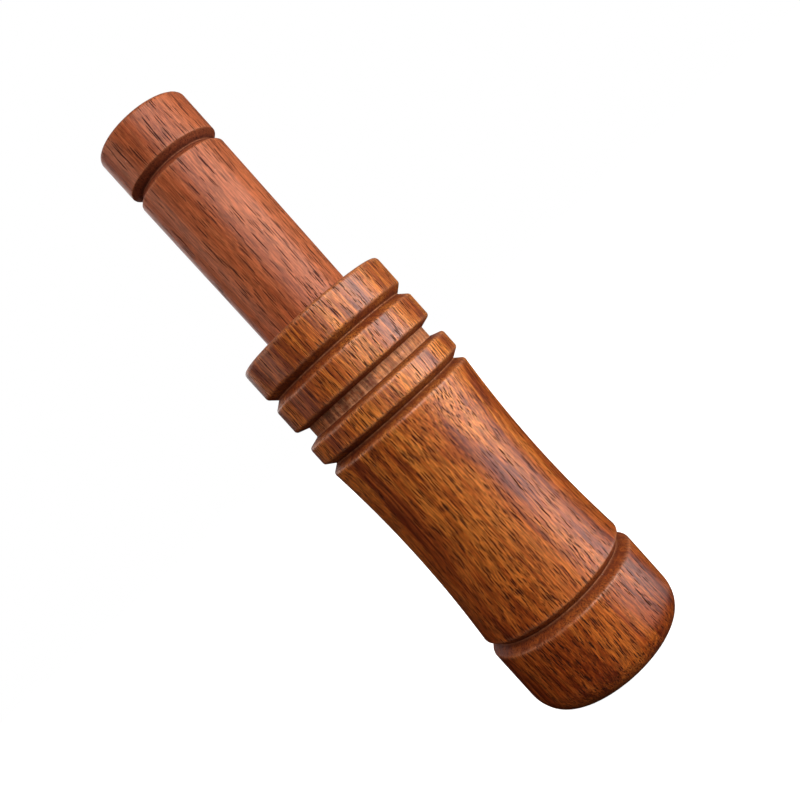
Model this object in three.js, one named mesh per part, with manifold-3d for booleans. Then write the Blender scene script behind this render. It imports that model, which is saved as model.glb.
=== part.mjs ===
// Duck call: a turned wooden barrel, and a turned wooden stopper that carries a moulded tone board,
// two film reeds, the cork that wedges them and two sealing rings.
// Millimetres. The call stands on its mouth: the origin is the centre of the mouth face, +Z runs up
// the axis to the stopper's open end, and the reeds lie on the -Y side of the tone board.
import * as THREE from "three";
import { mergeVertices } from "three/addons/utils/BufferGeometryUtils.js";
import Module from "manifold-3d";

const wasm = await Module();
wasm.setup();

// ---------------------------------------------------------------- driving dimensions

const ROUND_SEGMENTS = 48; // facets around a turned piece
const RING_SECTION_SEGMENTS = 8; // facets around a sealing ring's section
const FILLET_STEPS = 3; // chords in a rounded corner
const WAIST_STEPS = 8; // chords along the waisted body
const MOUTH_STEPS = 6; // chords in the mouth's rounding
const BELL_STEPS = 5; // chords in the flare of the exhaust bore

const BARREL = {
  bore: 8.1, // radius of the straight bore
  mouthFlare: 1.6, // how much wider the bore opens at the mouth face
  mouthFlareLength: 3.0,
  socketChamfer: 0.5, // lead-in at the stopper's end of the bore
  mouthRadius: 18.85, // outside of the mouth cap
  mouthRoundIn: 4.6, // the mouth's rounding, across the face
  mouthRoundUp: 6.0, // the same rounding, up the side
  capLength: 17.65, // mouth face to the lip of the cap groove
  capGrooveWidth: 3.45,
  capGrooveFloor: 16.7, // radius at the bottom of the cap groove
  bodyLength: 47.7,
  bodyEndRadius: 18.45,
  waistRadius: 17.25, // at the middle of the body
  lowerVeeWidth: 2.9,
  lowerVeeFloor: 16.5,
  lowerRingLength: 4.4,
  lowerRingRadius: 18.75,
  lanyardGrooveWidth: 4.3,
  lanyardGrooveFloor: 15.9,
  lanyardWallSlope: 0.9, // height that each wall leans over
  middleRingLength: 6.0,
  middleRingRadius: 18.7,
  upperVeeWidth: 3.2,
  upperVeeFloor: 16.7,
  upperRingLength: 7.2,
  upperRingRadius: 18.55,
  edgeRound: 0.9, // turned edges beside the grooves
  endRound: 1.0, // the barrel's top edge
};

const STOPPER = {
  length: 52.1, // exposed length, shoulder to open end
  neckRadius: 10.7, // at the shoulder
  stemRadius: 10.95, // just below the groove
  grooveFloor: 9.3,
  grooveWidth: 2.9,
  bandLength: 9.95, // end band above the groove
  bandRadius: 11.15,
  endRound: 1.0,
  edgeRound: 0.4,
  exhaustRadius: 4.75,
  bellRadius: 7.0, // exhaust bore at the open end
  bellLength: 29.0,
  bellRound: 0.8,
};

const TONE_BOARD = {
  sealLand: 3.46, // solid base between the lower ring's groove and the notch's closed end
  boardLength: 39.0, // half-round board below the round base
  faceOffset: 1.0, // how far the reeds' face stands in front of the axis
  reliefDegrees: 1.4, // the face leans away from the reeds by this much
  tipRound: 1.5,
  notchDepth: 11.0, // wedge notch, up into the base
  notchMouth: 4.1, // opening from the face to the overhang, at the notch's mouth
  notchEnd: 3.0, // the same at the notch's closed end
  troughWidth: 5.4,
  troughTipMargin: 4.0, // face left closed at the tip
  troughTipDepth: 1.3, // trough depth at its tip end
  troughRamp: 38.0, // length over which the trough reaches the air bore's depth
  airRadius: 3.0,
  airOffset: 1.6, // air bore's axis behind the call's axis
  tenonRadius: 5.6,
  tenonLength: 8.0,
};

const SEAL = {
  sectionRadius: 0.89,
  firstDepth: 5.3, // first ring's middle below the barrel's top face
  pitch: 7.0,
};

const REEDS = {
  longThickness: 0.35,
  shortThickness: 0.25,
  tipMargin: 1.0, // long reed's tip short of the board's tip
  shortStep: 3.0, // short reed's tip short of the long reed's
  cornerRadius: 2.0,
  edgeMargin: 1.1, // reed edge inside the board's round
};

const CLEARANCE = {
  seat: 0.1, // stopper's shoulder over the barrel's top face
  insert: 0.15, // tone board's base in the bore, on the radius
  tenon: 0.15, // tenon in the stopper's socket, on the radius
  tenonEnd: 0.3, // tenon's end below the socket's floor
  seal: 0.05, // sealing ring to the bore and to its groove's floor
  sealSide: 0.15, // sealing ring to each wall of its groove
  reed: 0.1, // between the face, the reeds and the wedge
  reedEnd: 0.3, // reeds and wedge short of the notch's closed end
  reedSide: 0.2, // reed edge to the notch's side
  wedgeEdge: 0.3, // wedge inside the round of the base
};

// ---------------------------------------------------------------- places worked out from them

const capLip = BARREL.capLength;
const bodyStart = capLip + BARREL.capGrooveWidth;
const bodyEnd = bodyStart + BARREL.bodyLength;
const lowerRingStart = bodyEnd + BARREL.lowerVeeWidth;
const lowerRingEnd = lowerRingStart + BARREL.lowerRingLength;
const middleRingStart = lowerRingEnd + BARREL.lanyardGrooveWidth;
const middleRingEnd = middleRingStart + BARREL.middleRingLength;
const upperRingStart = middleRingEnd + BARREL.upperVeeWidth;
const barrelTop = upperRingStart + BARREL.upperRingLength;

const shoulder = barrelTop + CLEARANCE.seat;
const stopperTop = shoulder + STOPPER.length;
const tenonTop = barrelTop + TONE_BOARD.tenonLength;
const socketRadius = TONE_BOARD.tenonRadius + CLEARANCE.tenon;
const socketTop = tenonTop + CLEARANCE.tenonEnd;

const boardRadius = BARREL.bore - CLEARANCE.insert;

const sealRadius = BARREL.bore - CLEARANCE.seal - SEAL.sectionRadius;
const sealFloor = sealRadius - SEAL.sectionRadius - CLEARANCE.seal;
const sealHalfWidth = SEAL.sectionRadius + CLEARANCE.sealSide;
const sealHeights = [0, 1].map((i) => barrelTop - SEAL.firstDepth - i * SEAL.pitch);

const notchTop = sealHeights[1] - sealHalfWidth - TONE_BOARD.sealLand;
const reedButt = notchTop - CLEARANCE.reedEnd;
const baseBottom = notchTop - TONE_BOARD.notchDepth;
const boardTip = baseBottom - TONE_BOARD.boardLength;

const longReedBack = -TONE_BOARD.faceOffset - CLEARANCE.reed;
const shortReedBack = longReedBack - REEDS.longThickness - CLEARANCE.reed;
const wedgeBack = shortReedBack - REEDS.shortThickness - CLEARANCE.reed;
const reedHalfWidth = Math.sqrt(boardRadius ** 2 - wedgeBack ** 2) - REEDS.edgeMargin;
const longReedTip = boardTip + REEDS.tipMargin;
const shortReedTip = longReedTip + REEDS.shortStep;

// ---------------------------------------------------------------- geometry helpers

/** Corner points [radius, height, fillet] become a profile whose filleted corners are short arcs. */
function roundCorners(corners) {
  const points = corners.map(([radius, height]) => new THREE.Vector2(radius, height));
  const profile = [];
  corners.forEach(([, , fillet = 0], i) => {
    const here = points[i];
    if (!fillet) {
      profile.push(here);
      return;
    }
    const back = points[i - 1].clone().sub(here);
    const ahead = points[i + 1].clone().sub(here);
    const halfAngle = Math.abs(back.angleTo(ahead)) / 2;
    const room = 0.45 * Math.min(back.length(), ahead.length());
    const reach = Math.min(fillet / Math.tan(halfAngle), room);
    const start = here.clone().addScaledVector(back.normalize(), reach);
    const end = here.clone().addScaledVector(ahead.normalize(), reach);
    const arc = new THREE.QuadraticBezierCurve(start, here, end);
    profile.push(...arc.getPoints(FILLET_STEPS));
  });
  return profile;
}

/** Turns a profile of (radius, height) points about +Z. */
function turned(profile) {
  return new THREE.LatheGeometry(profile, ROUND_SEGMENTS).rotateX(Math.PI / 2);
}

/** A (y, z) outline carried along X, `width` wide and centred on x = 0. */
function sideways(outline, width) {
  const shape = new THREE.Shape(outline.map(([y, z]) => new THREE.Vector2(y, z)));
  const block = new THREE.ExtrudeGeometry(shape, { depth: width, bevelEnabled: false });
  const yzx = new THREE.Matrix4().makeBasis(
    new THREE.Vector3(0, 1, 0),
    new THREE.Vector3(0, 0, 1),
    new THREE.Vector3(1, 0, 0),
  );
  return block.translate(0, 0, -width / 2).applyMatrix4(yzx);
}

/** A closed geometry as a solid that can be joined and cut. */
function solid(geometry) {
  const bare = geometry.clone();
  bare.deleteAttribute("normal");
  bare.deleteAttribute("uv");
  const merged = mergeVertices(bare, 1e-4);
  const vertProperties = new Float32Array(merged.getAttribute("position").array);
  const triVerts = new Uint32Array(merged.index.array);
  return new wasm.Manifold(new wasm.Mesh({ numProp: 3, vertProperties, triVerts }));
}

/** A solid back as a geometry. */
function geometryOf(body) {
  const mesh = body.getMesh();
  const geometry = new THREE.BufferGeometry();
  geometry.setAttribute("position", new THREE.BufferAttribute(mesh.vertProperties, 3));
  geometry.setIndex(new THREE.BufferAttribute(mesh.triVerts, 1));
  geometry.computeVertexNormals();
  return geometry;
}

/** One named piece of the call. */
function piece(name, geometry, colour, roughness, metalness = 0) {
  const material = new THREE.MeshStandardMaterial({ color: colour, roughness, metalness });
  const mesh = new THREE.Mesh(geometry, material);
  mesh.name = name;
  return mesh;
}

// ---------------------------------------------------------------- barrel

/** The mouth's rounding: a quarter ellipse from the face out to the side. */
function mouthRounding() {
  const centreRadius = BARREL.mouthRadius - BARREL.mouthRoundIn;
  const curve = new THREE.EllipseCurve(
    centreRadius, BARREL.mouthRoundUp,
    BARREL.mouthRoundIn, BARREL.mouthRoundUp,
    -Math.PI / 2, 0,
  );
  return curve.getPoints(MOUTH_STEPS);
}

/** The waisted body: an arc through both ends and the waist, without its two end points. */
function waist() {
  const halfLength = BARREL.bodyLength / 2;
  const sag = BARREL.bodyEndRadius - BARREL.waistRadius;
  const arcRadius = (halfLength ** 2 + sag ** 2) / (2 * sag);
  const points = [];
  for (let i = 1; i < WAIST_STEPS; i += 1) {
    const along = halfLength * ((2 * i) / WAIST_STEPS - 1);
    const drop = arcRadius - Math.sqrt(arcRadius ** 2 - along ** 2);
    points.push([BARREL.waistRadius + drop, bodyStart + halfLength + along]);
  }
  return points;
}

/** Barrel profile above the mouth's rounding, from the cap's side up to the bore's top edge. */
function barrelSide() {
  const edge = BARREL.edgeRound;
  const lean = BARREL.lanyardWallSlope;
  return roundCorners([
    [BARREL.mouthRadius, BARREL.mouthRoundUp],
    [BARREL.mouthRadius, capLip, edge],
    [BARREL.capGrooveFloor, (capLip + bodyStart) / 2],
    [BARREL.bodyEndRadius, bodyStart, edge],
    ...waist(),
    [BARREL.bodyEndRadius, bodyEnd, edge],
    [BARREL.lowerVeeFloor, (bodyEnd + lowerRingStart) / 2],
    [BARREL.lowerRingRadius, lowerRingStart, edge],
    [BARREL.lowerRingRadius, lowerRingEnd, edge],
    [BARREL.lanyardGrooveFloor, lowerRingEnd + lean],
    [BARREL.lanyardGrooveFloor, middleRingStart - lean],
    [BARREL.middleRingRadius, middleRingStart, edge],
    [BARREL.middleRingRadius, middleRingEnd, edge],
    [BARREL.upperVeeFloor, (middleRingEnd + upperRingStart) / 2],
    [BARREL.upperRingRadius, upperRingStart, edge],
    [BARREL.upperRingRadius, barrelTop, BARREL.endRound],
    [BARREL.bore + BARREL.socketChamfer, barrelTop],
  ]);
}

function barrel() {
  const flareRadius = BARREL.bore + BARREL.mouthFlare;
  const start = new THREE.Vector2(flareRadius, 0);
  const profile = [
    start,
    ...mouthRounding(),
    ...barrelSide().slice(1), // the rounding ends where the side begins
    new THREE.Vector2(BARREL.bore, barrelTop - BARREL.socketChamfer),
    new THREE.Vector2(BARREL.bore, BARREL.mouthFlareLength),
    start.clone(),
  ];
  return piece("barrel", turned(profile), 0xa9642b, 0.45);
}

// ---------------------------------------------------------------- stopper

/** The flare of the exhaust bore, from the open end down to the straight bore. */
function exhaustBell() {
  const points = [];
  for (let i = 0; i <= BELL_STEPS; i += 1) {
    const share = 1 - i / BELL_STEPS;
    const radius = STOPPER.exhaustRadius
      + (STOPPER.bellRadius - STOPPER.exhaustRadius) * share ** 2;
    points.push([radius, stopperTop - STOPPER.bellRound - STOPPER.bellLength * (1 - share)]);
  }
  return points;
}

function stopper() {
  const bandStart = stopperTop - STOPPER.bandLength;
  const grooveStart = bandStart - STOPPER.grooveWidth;
  const start = [socketRadius, shoulder];
  const profile = roundCorners([
    start,
    [STOPPER.neckRadius, shoulder, STOPPER.edgeRound],
    [STOPPER.stemRadius, grooveStart, STOPPER.edgeRound],
    [STOPPER.grooveFloor, (grooveStart + bandStart) / 2],
    [STOPPER.bandRadius, bandStart, STOPPER.edgeRound],
    [STOPPER.bandRadius, stopperTop, STOPPER.endRound],
    [STOPPER.bellRadius + STOPPER.bellRound, stopperTop],
    ...exhaustBell(),
    [STOPPER.exhaustRadius, socketTop],
    [socketRadius, socketTop],
    start,
  ]);
  return piece("stopper", turned(profile), 0x9c4f33, 0.45);
}

// ---------------------------------------------------------------- tone board

/** Where the reeds' face lies at a height: it leans back from the reeds' butt ends to the tip. */
function faceAt(height) {
  const lean = Math.tan(THREE.MathUtils.degToRad(TONE_BOARD.reliefDegrees));
  return -TONE_BOARD.faceOffset + Math.max(0, reedButt - height) * lean;
}

/** Where the notch's overhang lies at a height; it closes towards the notch's end. */
function overhangAt(height) {
  const share = (height - baseBottom) / TONE_BOARD.notchDepth;
  const gap = TONE_BOARD.notchMouth + (TONE_BOARD.notchEnd - TONE_BOARD.notchMouth) * share;
  return -TONE_BOARD.faceOffset - gap;
}

/** The round blank: rounded tip, plain board and base with two ring grooves, and the tenon. */
function toneBoardBlank() {
  const grooves = [...sealHeights].reverse().flatMap((height) => [
    [boardRadius, height - sealHalfWidth],
    [sealFloor, height - sealHalfWidth],
    [sealFloor, height + sealHalfWidth],
    [boardRadius, height + sealHalfWidth],
  ]);
  return solid(turned(roundCorners([
    [0, boardTip],
    [boardRadius, boardTip, TONE_BOARD.tipRound],
    ...grooves,
    [boardRadius, barrelTop],
    [TONE_BOARD.tenonRadius, barrelTop],
    [TONE_BOARD.tenonRadius, tenonTop],
    [0, tenonTop],
  ])));
}

/** What is cut away in front of the board's face. */
function faceCut() {
  const past = boardRadius + 1;
  const below = boardTip - 1;
  const outline = [
    [faceAt(baseBottom), baseBottom],
    [-past, baseBottom],
    [-past, below],
    [faceAt(below), below],
  ];
  return solid(sideways(outline, 2 * past));
}

/** The wedge notch, from the base's lower end up. */
function notchCut() {
  const below = baseBottom - 1;
  const outline = [
    [faceAt(reedButt), notchTop],
    [overhangAt(notchTop), notchTop],
    [overhangAt(below), below],
    [faceAt(below), below],
    [faceAt(reedButt), reedButt],
  ];
  return solid(sideways(outline, 2 * (reedHalfWidth + CLEARANCE.reedSide)));
}

/** The air trough: it deepens along its ramp until it meets the air bore. */
function troughCut() {
  const start = boardTip + TONE_BOARD.troughTipMargin;
  const airFloor = TONE_BOARD.airOffset + TONE_BOARD.airRadius;
  const open = -TONE_BOARD.faceOffset - CLEARANCE.reed;
  const outline = [
    [open, start],
    [faceAt(start) + TONE_BOARD.troughTipDepth, start],
    [airFloor, start + TONE_BOARD.troughRamp],
    [airFloor, notchTop],
    [open, notchTop],
  ];
  return solid(sideways(outline, TONE_BOARD.troughWidth));
}

/** The air bore, from the notch up through the tenon. */
function airCut() {
  const start = reedButt - TONE_BOARD.airRadius;
  const end = tenonTop + 1;
  return solid(turned([
    new THREE.Vector2(0, start),
    new THREE.Vector2(TONE_BOARD.airRadius, start),
    new THREE.Vector2(TONE_BOARD.airRadius, end),
    new THREE.Vector2(0, end),
  ]).translate(0, TONE_BOARD.airOffset, 0));
}

function toneBoard() {
  const cuts = [faceCut(), notchCut(), troughCut(), airCut()];
  const body = cuts.reduce((left, cut) => left.subtract(cut), toneBoardBlank());
  return piece("tone_board", geometryOf(body), 0x1d2023, 0.3);
}

// ---------------------------------------------------------------- reeds, wedge and rings

/** A flat strip of film from its rounded tip up to the notch, its back face at `back`. */
function reed(name, tip, back, thickness, colour) {
  const corner = REEDS.cornerRadius;
  const outline = new THREE.Shape();
  outline.moveTo(-reedHalfWidth, reedButt);
  outline.lineTo(-reedHalfWidth, tip + corner);
  outline.absarc(-reedHalfWidth + corner, tip + corner, corner, Math.PI, 1.5 * Math.PI);
  outline.lineTo(reedHalfWidth - corner, tip);
  outline.absarc(reedHalfWidth - corner, tip + corner, corner, 1.5 * Math.PI, 2 * Math.PI);
  outline.lineTo(reedHalfWidth, reedButt);
  const options = { depth: thickness, bevelEnabled: false, curveSegments: 5 };
  const strip = new THREE.ExtrudeGeometry(outline, options).rotateX(Math.PI / 2);
  return piece(name, strip.translate(0, back, 0), colour, 0.25);
}

/** The cork that fills the notch in front of the reeds. */
function wedgeCork() {
  const gap = CLEARANCE.reed;
  const front = overhangAt(baseBottom) + gap;
  const halfWidth = Math.sqrt((boardRadius - CLEARANCE.wedgeEdge) ** 2 - front ** 2);
  const outline = [
    [wedgeBack, baseBottom],
    [wedgeBack, reedButt],
    [overhangAt(reedButt) + gap, reedButt],
    [front, baseBottom],
  ];
  return piece("wedge_cork", sideways(outline, 2 * halfWidth), 0xb98a5a, 0.9);
}

function sealingRing(name, height) {
  const ring = new THREE.TorusGeometry(
    sealRadius, SEAL.sectionRadius, RING_SECTION_SEGMENTS, ROUND_SEGMENTS,
  );
  const mesh = piece(name, ring, 0x16161a, 0.6);
  mesh.position.z = height;
  return mesh;
}

// ---------------------------------------------------------------- the whole call

const insert = new THREE.Group();
insert.add(
  stopper(),
  toneBoard(),
  sealingRing("rear_o_ring", sealHeights[0]),
  sealingRing("front_o_ring", sealHeights[1]),
  reed("long_reed", longReedTip, longReedBack, REEDS.longThickness, 0xd9dfe4),
  reed("short_reed", shortReedTip, shortReedBack, REEDS.shortThickness, 0xe4e8ea),
  wedgeCork(),
);

const duckCall = new THREE.Group();
duckCall.add(barrel(), insert);

export default duckCall;
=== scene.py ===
"""Looks of a turned wooden duck call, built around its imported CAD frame.

The call stands on its mouth: +Z runs up the axis and the reeds lie on the -Y side. Sizes are in
metres, and the finishes work in millimetres. The barrel and the stopper are fine turned surfaces,
the tone board is the CAD solid with its moulded edges eased, and the reeds, the wedge and the
sealing rings are new surfaces on their CAD boxes.
"""

import logging
import math
from collections.abc import Sequence
from dataclasses import dataclass, field
from enum import Enum

import bmesh
import bpy
import numpy as np
from mathutils import Matrix, Vector


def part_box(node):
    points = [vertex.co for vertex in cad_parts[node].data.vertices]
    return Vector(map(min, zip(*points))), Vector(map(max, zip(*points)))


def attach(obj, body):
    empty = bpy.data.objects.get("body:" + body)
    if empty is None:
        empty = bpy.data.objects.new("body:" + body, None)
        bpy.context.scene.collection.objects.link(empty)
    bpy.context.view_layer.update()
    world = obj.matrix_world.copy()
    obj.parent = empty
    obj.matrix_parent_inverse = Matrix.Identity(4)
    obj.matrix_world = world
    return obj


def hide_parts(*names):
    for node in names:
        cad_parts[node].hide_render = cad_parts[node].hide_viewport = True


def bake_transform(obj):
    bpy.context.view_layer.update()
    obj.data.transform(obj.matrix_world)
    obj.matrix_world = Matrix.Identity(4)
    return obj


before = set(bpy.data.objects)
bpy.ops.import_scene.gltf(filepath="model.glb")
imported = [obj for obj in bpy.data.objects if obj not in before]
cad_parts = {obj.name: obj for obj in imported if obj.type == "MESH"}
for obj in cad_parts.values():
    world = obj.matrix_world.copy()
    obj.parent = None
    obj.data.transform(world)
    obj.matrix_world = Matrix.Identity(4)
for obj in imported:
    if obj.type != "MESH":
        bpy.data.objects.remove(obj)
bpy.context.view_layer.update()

LOG = logging.getLogger("duck_call")
MM = 0.001
PER_MM = 1000.0

Pair = tuple[float, float]
Triple = tuple[float, float, float]
Colour = Triple
Socket = bpy.types.NodeSocket
Feed = Socket | float | tuple[float, ...]


class Body(Enum):
    """The moving bodies that pieces ride on."""

    BARREL = "barrel"
    SEALS = "seals"
    INSERT = "insert"
    REEDS = "reeds"


class Slot(Enum):
    """The record's material slots."""

    BARREL_WOOD = "barrel_wood"
    STOPPER_WOOD = "stopper_wood"
    TONE_PLASTIC = "tone_plastic"
    RING_RUBBER = "ring_rubber"
    REED_FILM = "reed_film"
    CORK = "cork"


class Mark(Enum):
    """Per-vertex masks that a turned piece carries for its finish."""

    # Turned edges; the pale line laid on them is partly wear and partly a painted highlight.
    EDGE = "turned_edge"
    GROOVE = "turned_groove"
    BORE = "drilled_bore"
    BARE = "rubbed_floor"
    # Groove bottoms, where the pale line laid on them is a painted highlight.
    SEAM = "groove_bottom"


def srgb(red: int, green: int, blue: int) -> Colour:
    """Turn a display colour into linear light.

    Args:
        red: Red from 0 to 255.
        green: Green from 0 to 255.
        blue: Blue from 0 to 255.

    Returns:
        The linear colour.
    """

    def linear(level: int) -> float:
        """Undo the display's curve for one channel."""
        share = level / 255
        return share / 12.92 if share <= 0.04045 else ((share + 0.055) / 1.055) ** 2.4

    return linear(red), linear(green), linear(blue)


def toned(colour: Colour, factor: float) -> Colour:
    """Make a colour darker or brighter by a factor."""
    return tuple(channel * factor for channel in colour)


# ---------------------------------------------------------------- surfaces


@dataclass(frozen=True)
class Corner:
    """A corner of a turned profile: its radius, its height and the fillet that eases it."""

    radius: float
    height: float
    fillet: float = 0.0


def sharp_corners(radii: np.ndarray, heights: np.ndarray) -> list[Corner]:
    """Make corners without fillets, which follow a curve in small steps."""
    return [Corner(float(r), float(z)) for r, z in zip(radii, heights, strict=True)]


def angles(count: int) -> np.ndarray:
    """Share a full turn evenly among a number of points."""
    return np.linspace(0, 2 * np.pi, count, endpoint=False)


def spaced(start: np.ndarray, end: np.ndarray, step: float) -> np.ndarray:
    """Sample a straight stretch, closer together towards its two ends.

    The share along the stretch is (1 - cos(pi k / n)) / 2 for k from 0 to n - 1, so the stretch
    keeps its corners crisp under smooth shading.

    Args:
        start: First point.
        end: Last point, which the next stretch adds.
        step: Longest spacing wanted, in metres.

    Returns:
        The points from start up to, but without, end.
    """
    count = max(1, math.ceil(np.linalg.norm(end - start) / step) + 1)
    share = (1 - np.cos(np.pi * np.arange(count) / count)) / 2
    return start + share[:, None] * (end - start)


def turned_profile(corners: Sequence[Corner], step: float, arc_steps: int = 6) -> np.ndarray:
    """Round the corners of a closed profile and sample it.

    A fillet of radius f at a corner of half angle a starts f / tan(a) before the corner, though no
    further than 0.45 of the shorter side. It is a quadratic curve drawn towards the corner:
    (1-t)^2 start + 2t(1-t) corner + t^2 end.

    Args:
        corners: The closed outline's corners in order.
        step: Longest spacing on its straight stretches.
        arc_steps: Chords in each fillet.

    Returns:
        An array of (radius, height) rows that closes on itself.
    """
    points = np.array([(c.radius, c.height) for c in corners])
    starts, ends, arcs = [], [], []
    for i, corner in enumerate(corners):
        here = points[i]
        back = points[i - 1] - here
        ahead = points[(i + 1) % len(points)] - here
        lengths = np.linalg.norm(back), np.linalg.norm(ahead)
        cosine = np.dot(back, ahead) / (lengths[0] * lengths[1])
        half = math.acos(float(np.clip(cosine, -1, 1))) / 2
        reach = min(corner.fillet / max(math.tan(half), 1e-6), 0.45 * min(lengths))
        start = here + back / lengths[0] * reach
        end = here + ahead / lengths[1] * reach
        t = np.linspace(0, 1, arc_steps + 1)[:, None]
        starts.append(start)
        ends.append(end)
        arcs.append((1 - t) ** 2 * start + 2 * t * (1 - t) * here + t**2 * end)
    stretches = []
    for i, corner in enumerate(corners):
        if corner.fillet:
            stretches.append(arcs[i][:-1])
        stretches.append(spaced(ends[i], starts[(i + 1) % len(corners)], step))
    return np.concatenate(stretches)


def turn_of(profile: np.ndarray, reach: float) -> np.ndarray:
    """Measure how far a closed profile turns around each of its points.

    It is the change of the tangent's angle from `reach` before the point to `reach` after it, in
    right angles: positive where the outline is convex and negative in a groove.

    Args:
        profile: Closed (radius, height) rows, counter-clockwise.
        reach: Distance to look along the outline on each side.

    Returns:
        One value for each row.
    """
    step = np.roll(profile, -1, axis=0) - profile
    length = np.linalg.norm(step, axis=1)
    angle = np.unwrap(np.arctan2(step[:, 1], step[:, 0]))
    total = length.sum()
    along = np.concatenate([[0], np.cumsum(length)[:-1]])
    middle = along + length / 2
    whole_turn = 2 * np.pi * np.sign(angle[-1] - angle[0])
    laps_at = np.concatenate([middle - total, middle, middle + total])
    laps = np.concatenate([angle - whole_turn, angle, angle + whole_turn])
    after = np.interp(along + reach, laps_at, laps)
    before = np.interp(along - reach, laps_at, laps)
    return (after - before) / (np.pi / 2)


def ripple(angle: np.ndarray, height: np.ndarray, seed: int, waves: int = 24) -> np.ndarray:
    """Give a smooth random ripple over a turned surface, about -1 to 1.

    It is a sum of sines sin(m angle + k height + phase), with whole m so that it closes round the
    piece, and m, k and phase drawn from a seeded generator.

    Args:
        angle: Angles round the axis, in radians.
        height: Heights, in metres.
        seed: Seed of the draws.
        waves: Number of sines.

    Returns:
        The ripple, with the shape of angle and height broadcast together.
    """
    draw = np.random.default_rng(seed)
    round_count = draw.integers(-60, 61, waves)
    along_rate = draw.normal(0, 700, waves)
    phase = draw.uniform(0, 2 * np.pi, waves)
    terms = np.sin(angle[..., None] * round_count + height[..., None] * along_rate + phase)
    return terms.sum(axis=-1) / math.sqrt(waves)


def closed_faces(rows: int, columns: int, wrap_rows: bool) -> np.ndarray:
    """List the quads of a grid whose columns close on themselves.

    Args:
        rows: Rings of vertices.
        columns: Vertices in each ring.
        wrap_rows: Whether the last ring joins the first.

    Returns:
        An array of four vertex numbers for each quad.
    """
    row = np.arange(rows if wrap_rows else rows - 1)
    r, c = np.meshgrid(row, np.arange(columns), indexing="ij")
    here, above = r * columns, (r + 1) % rows * columns
    ahead = (c + 1) % columns
    return np.stack([here + c, here + ahead, above + ahead, above + c], axis=-1).reshape(-1, 4)


def enclosed_volume(points: np.ndarray, faces: np.ndarray) -> float:
    """Return the signed volume inside quads: a sixth of the sum of a . (b x c) over triangles."""
    a, b, c, d = (points[faces[:, i]] for i in range(4))
    first = np.einsum("ij,ij->i", a, np.cross(b, c))
    second = np.einsum("ij,ij->i", a, np.cross(c, d))
    return float((first + second).sum() / 6)


def add_object(name: str, data: bpy.types.ID) -> bpy.types.Object:
    """Put an object for some data into the scene, at the origin."""
    made = bpy.data.objects.new(name, data)
    bpy.context.collection.objects.link(made)
    return made


def ring_mesh(name: str, rings: np.ndarray, wrap_rows: bool) -> bpy.types.Object:
    """Make a closed piece from rings of points.

    Args:
        name: The piece's name.
        rings: Array (rings, points, 3); each ring closes on itself.
        wrap_rows: Whether the last ring joins the first. If it doesn't, each end is closed by a fan
            of triangles round the end ring's middle.

    Returns:
        The object, shaded smooth, its faces outwards.
    """
    rows, columns = rings.shape[:2]
    points = rings.reshape(-1, 3)
    quads = closed_faces(rows, columns, wrap_rows)
    turn = -1 if enclosed_volume(points - points.mean(0), quads) < 0 else 1
    faces = quads[:, ::turn].tolist()
    if not wrap_rows:
        here = np.arange(columns)
        ahead = (here + 1) % columns
        last = (rows - 1) * columns
        points = np.concatenate([points, [rings[0].mean(0), rings[-1].mean(0)]])
        first_middle = np.full(columns, rows * columns)
        first_fan = np.stack([ahead, here, first_middle], axis=-1)
        last_fan = np.stack([last + here, last + ahead, first_middle + 1], axis=-1)
        faces += np.concatenate([first_fan, last_fan])[:, ::turn].tolist()
    mesh = bpy.data.meshes.new(name)
    mesh.from_pydata(points.tolist(), [], faces)
    mesh.update()
    mesh.shade_smooth()
    return add_object(name, mesh)


def settle(
    piece: bpy.types.Object,
    material: bpy.types.Material,
    replaces: str,
    body: Body | None,
) -> bpy.types.Object:
    """Dress a finished piece and tie it to the frame.

    Args:
        piece: The piece, in place.
        material: Its finish.
        replaces: The CAD node it stands for.
        body: The body it rides on, or None to leave it unattached.

    Returns:
        The piece.
    """
    piece.data.materials.append(material)
    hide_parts(replaces)
    if body is not None:
        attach(piece, body.value)
    LOG.info("%s: %d faces, stands for %s", piece.name, len(piece.data.polygons), replaces)
    return piece


# ---------------------------------------------------------------- node graphs


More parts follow.
